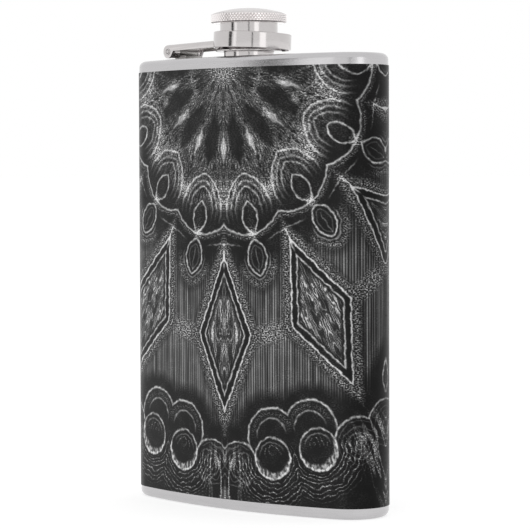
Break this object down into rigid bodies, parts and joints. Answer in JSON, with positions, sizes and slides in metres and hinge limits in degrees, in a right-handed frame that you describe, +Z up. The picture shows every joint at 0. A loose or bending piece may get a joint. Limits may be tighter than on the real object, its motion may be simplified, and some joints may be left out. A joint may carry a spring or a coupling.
{
  "type": "hip flask",
  "caption": "Curved pocket flask in steel with a printed vinyl wrap, a threaded neck and a captive knurled screw cap on a hinged swing arm.",
  "frame": {"origin": "on the base plane, in the middle of the overall width and depth", "axes": "+Z up along the flask's height, +X along its width away from the hinge, +Y towards the concave rear face"},
  "size_m": [0.0954, 0.0284, 0.1534],
  "materials": {
    "brushed_steel": "fine brushed stainless steel",
    "polished_steel": "polished stainless steel",
    "printed_vinyl": "satin laminated vinyl film with a printed silver and black ornament",
    "seal_rubber": "matt moulded seal"
  },
  "bodies": {
    "flask": {"body_shell": "brushed_steel", "top_pressing": "brushed_steel", "base_pressing": "brushed_steel", "vinyl_wrap": "printed_vinyl", "neck": "polished_steel", "hinge_bracket": "polished_steel"},
    "arm": {"hinge_pin": "polished_steel", "front_spacer": "polished_steel", "rear_spacer": "polished_steel", "swing_arm": "polished_steel", "arm_collar": "polished_steel"},
    "cap_seal": {"cap_gasket": "seal_rubber"},
    "cap": {"cap_head": "polished_steel", "cap_sleeve": "polished_steel"}
  },
  "joints": [
    {"name": "arm_swing", "type": "hinge", "parent": "flask", "child": "arm", "pos_m": [-0.03138, 0.00126, 0.1412], "axis": [-0.118, -0.993, 0], "range_deg": [0, 175]},
    {"name": "cap_lift", "type": "slide", "parent": "arm", "child": "cap_seal", "axis": [0, 0, 1], "range_m": [0, 0.0033]},
    {"name": "cap_turn", "type": "hinge", "parent": "cap_seal", "child": "cap", "pos_m": [0, -0.00247, 0.145], "axis": [0, 0, 1], "range_deg": [0, 780]}
  ],
  "couplings": [
    {"joint": "cap_lift", "follows": "cap_turn", "m_per_rad": 0.00023873}
  ]
}
